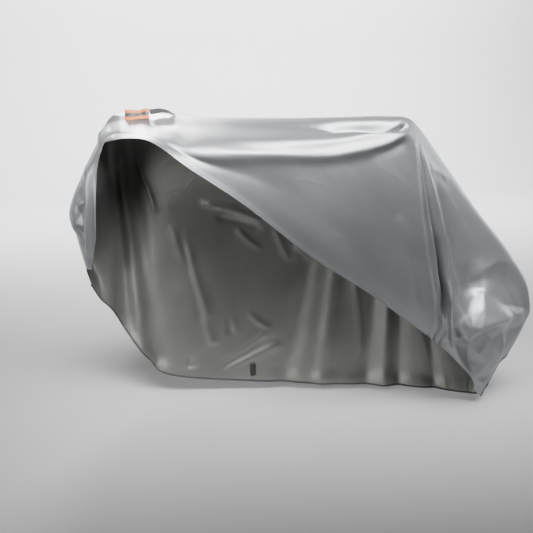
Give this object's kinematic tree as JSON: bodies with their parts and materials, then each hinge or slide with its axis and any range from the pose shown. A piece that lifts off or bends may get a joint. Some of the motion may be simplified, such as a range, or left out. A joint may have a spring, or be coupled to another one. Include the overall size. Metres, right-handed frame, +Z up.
{
  "type": "fitted bicycle cover",
  "caption": "Fitted weather cover in coated cloth, draped as over a bicycle, lifted over the handlebar on the near side and down to the ground on the far side.",
  "frame": {"origin": "underside of the top at the point near its back corner where the thing inside holds the cloth up, 1.05 m above the ground", "axes": "+X towards the cover's tail, -Y towards its lifted near side, +Z up"},
  "size_m": [1.6695, 0.4453, 1.0825],
  "materials": {
    "cloth": "coated polyester, satin silver grey, plain weave",
    "binding": "matte woven tape",
    "webbing": "matte ribbed webbing",
    "reflective": "orange tape with a grey reflective stripe",
    "buckle": "matte moulded"
  },
  "bodies": {
    "root": {"near_panel": "cloth", "far_panel": "cloth", "hem_binding": "binding", "top_strap": "webbing", "reflective_band": "reflective", "hem_tab": "webbing", "hem_buckle": "buckle"}
  },
  "joints": []
}
